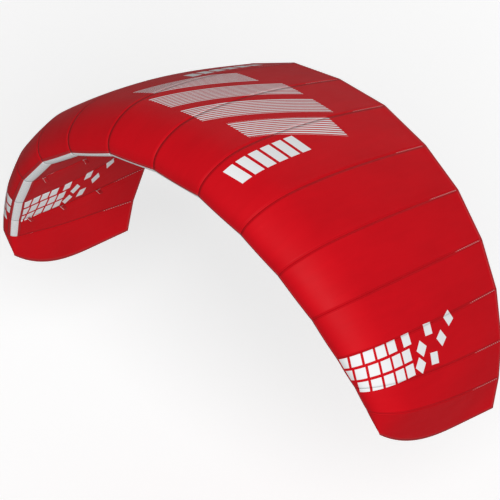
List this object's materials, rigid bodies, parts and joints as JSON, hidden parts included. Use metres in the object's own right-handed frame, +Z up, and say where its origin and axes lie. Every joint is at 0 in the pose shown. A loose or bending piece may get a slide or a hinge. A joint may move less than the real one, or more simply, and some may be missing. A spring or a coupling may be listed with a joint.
{
  "type": "ram-air foil kite",
  "caption": "Arched ram-air power kite canopy: red cells sewn between profiled ribs, with gauze air intakes along the nose and closed tips, which opens flat at its rib seams.",
  "frame": {"origin": "lower end of the middle tow tab on the centre rib", "axes": "+X to the right-hand tip, +Y to the trailing edge, -Y to the nose, +Z up from the concave side to the top skin"},
  "size_m": [2.2564, 1.0388, 1.158],
  "materials": {
    "top_cloth": "coated ripstop, satin",
    "bottom_cloth": "coated ripstop, satin",
    "rib_cloth": "coated ripstop, matt",
    "gauze": "open gauze, matt"
  },
  "bodies": {
    "centre": {"rib_centre": "rib_cloth", "intake_gauze_centre": "gauze", "top_panel_right_1": "top_cloth", "bottom_panel_right_1": "bottom_cloth", "rib_right_1": "rib_cloth", "top_panel_left_1": "top_cloth", "bottom_panel_left_1": "bottom_cloth", "rib_left_1": "rib_cloth"},
    "right_cell_2": {"top_panel_right_2": "top_cloth", "bottom_panel_right_2": "bottom_cloth", "rib_right_2": "rib_cloth", "intake_gauze_right_2": "gauze"},
    "right_cell_3": {"top_panel_right_3": "top_cloth", "bottom_panel_right_3": "bottom_cloth", "rib_right_3": "rib_cloth", "intake_gauze_right_3": "gauze"},
    "right_cell_4": {"top_panel_right_4": "top_cloth", "bottom_panel_right_4": "bottom_cloth", "rib_right_4": "rib_cloth", "intake_gauze_right_4": "gauze"},
    "right_cell_5": {"top_panel_right_5": "top_cloth", "bottom_panel_right_5": "bottom_cloth", "rib_right_5": "rib_cloth", "intake_gauze_right_5": "gauze"},
    "right_cell_6": {"top_panel_right_6": "top_cloth", "bottom_panel_right_6": "bottom_cloth", "rib_right_6": "rib_cloth", "intake_gauze_right_6": "gauze"},
    "right_cell_7": {"top_panel_right_7": "top_cloth", "bottom_panel_right_7": "bottom_cloth", "rib_right_7": "rib_cloth", "intake_gauze_right_7": "gauze"},
    "right_cell_8": {"top_panel_right_8": "top_cloth", "bottom_panel_right_8": "bottom_cloth"},
    "left_cell_2": {"top_panel_left_2": "top_cloth", "bottom_panel_left_2": "bottom_cloth", "rib_left_2": "rib_cloth", "intake_gauze_left_2": "gauze"},
    "left_cell_3": {"top_panel_left_3": "top_cloth", "bottom_panel_left_3": "bottom_cloth", "rib_left_3": "rib_cloth", "intake_gauze_left_3": "gauze"},
    "left_cell_4": {"top_panel_left_4": "top_cloth", "bottom_panel_left_4": "bottom_cloth", "rib_left_4": "rib_cloth", "intake_gauze_left_4": "gauze"},
    "left_cell_5": {"top_panel_left_5": "top_cloth", "bottom_panel_left_5": "bottom_cloth", "rib_left_5": "rib_cloth", "intake_gauze_left_5": "gauze"},
    "left_cell_6": {"top_panel_left_6": "top_cloth", "bottom_panel_left_6": "bottom_cloth", "rib_left_6": "rib_cloth", "intake_gauze_left_6": "gauze"},
    "left_cell_7": {"top_panel_left_7": "top_cloth", "bottom_panel_left_7": "bottom_cloth", "rib_left_7": "rib_cloth", "intake_gauze_left_7": "gauze"},
    "left_cell_8": {"top_panel_left_8": "top_cloth", "bottom_panel_left_8": "bottom_cloth"}
  },
  "joints": [
    {"name": "right_seam_1", "type": "hinge", "parent": "centre", "child": "right_cell_2", "pos_m": [0.2866, -0.09627, 0.18221], "axis": [0, -1, 0], "range_deg": [0, 16]},
    {"name": "right_seam_2", "type": "hinge", "parent": "right_cell_2", "child": "right_cell_3", "pos_m": [0.55043, -0.09025, 0.07991], "axis": [0, -1, 0], "range_deg": [0, 12]},
    {"name": "right_seam_3", "type": "hinge", "parent": "right_cell_3", "child": "right_cell_4", "pos_m": [0.76348, -0.07517, -0.06351], "axis": [0, -1, 0], "range_deg": [0, 13]},
    {"name": "right_seam_4", "type": "hinge", "parent": "right_cell_4", "child": "right_cell_5", "pos_m": [0.93098, -0.05128, -0.24733], "axis": [0, -1, 0], "range_deg": [0, 12]},
    {"name": "right_seam_5", "type": "hinge", "parent": "right_cell_5", "child": "right_cell_6", "pos_m": [1.03707, -0.02612, -0.43079], "axis": [-0.0104, -0.9997, 0.0205], "range_deg": [0, 10]},
    {"name": "right_seam_6", "type": "hinge", "parent": "right_cell_6", "child": "right_cell_7", "pos_m": [1.09943, -0.00691, -0.59418], "axis": [-0.0279, -0.9948, 0.0975], "range_deg": [0, 12]},
    {"name": "right_seam_7", "type": "hinge", "parent": "right_cell_7", "child": "right_cell_8", "pos_m": [1.12814, 0.00551, -0.72712], "axis": [-0.0144, -0.9862, 0.1651], "range_deg": [0, 10]},
    {"name": "left_seam_1", "type": "hinge", "parent": "centre", "child": "left_cell_2", "pos_m": [-0.2866, -0.09627, 0.18221], "axis": [0, 1, 0], "range_deg": [0, 16]},
    {"name": "left_seam_2", "type": "hinge", "parent": "left_cell_2", "child": "left_cell_3", "pos_m": [-0.55043, -0.09025, 0.07991], "axis": [0, 1, 0], "range_deg": [0, 12]},
    {"name": "left_seam_3", "type": "hinge", "parent": "left_cell_3", "child": "left_cell_4", "pos_m": [-0.76348, -0.07517, -0.06351], "axis": [0, 1, 0], "range_deg": [0, 13]},
    {"name": "left_seam_4", "type": "hinge", "parent": "left_cell_4", "child": "left_cell_5", "pos_m": [-0.93098, -0.05128, -0.24733], "axis": [0, 1, 0], "range_deg": [0, 12]},
    {"name": "left_seam_5", "type": "hinge", "parent": "left_cell_5", "child": "left_cell_6", "pos_m": [-1.03707, -0.02612, -0.43079], "axis": [-0.0104, 0.9997, -0.0205], "range_deg": [0, 10]},
    {"name": "left_seam_6", "type": "hinge", "parent": "left_cell_6", "child": "left_cell_7", "pos_m": [-1.09943, -0.00691, -0.59418], "axis": [-0.0279, 0.9948, -0.0975], "range_deg": [0, 12]},
    {"name": "left_seam_7", "type": "hinge", "parent": "left_cell_7", "child": "left_cell_8", "pos_m": [-1.12814, 0.00551, -0.72712], "axis": [-0.0144, 0.9862, -0.1651], "range_deg": [0, 10]}
  ],
  "couplings": [
    {"joint": "right_seam_2", "follows": "right_seam_1", "ratio": 0.75},
    {"joint": "right_seam_3", "follows": "right_seam_1", "ratio": 0.8125},
    {"joint": "right_seam_4", "follows": "right_seam_1", "ratio": 0.75},
    {"joint": "right_seam_5", "follows": "right_seam_1", "ratio": 0.625},
    {"joint": "right_seam_6", "follows": "right_seam_1", "ratio": 0.75},
    {"joint": "right_seam_7", "follows": "right_seam_1", "ratio": 0.625},
    {"joint": "left_seam_2", "follows": "left_seam_1", "ratio": 0.75},
    {"joint": "left_seam_3", "follows": "left_seam_1", "ratio": 0.8125},
    {"joint": "left_seam_4", "follows": "left_seam_1", "ratio": 0.75},
    {"joint": "left_seam_5", "follows": "left_seam_1", "ratio": 0.625},
    {"joint": "left_seam_6", "follows": "left_seam_1", "ratio": 0.75},
    {"joint": "left_seam_7", "follows": "left_seam_1", "ratio": 0.625}
  ]
}
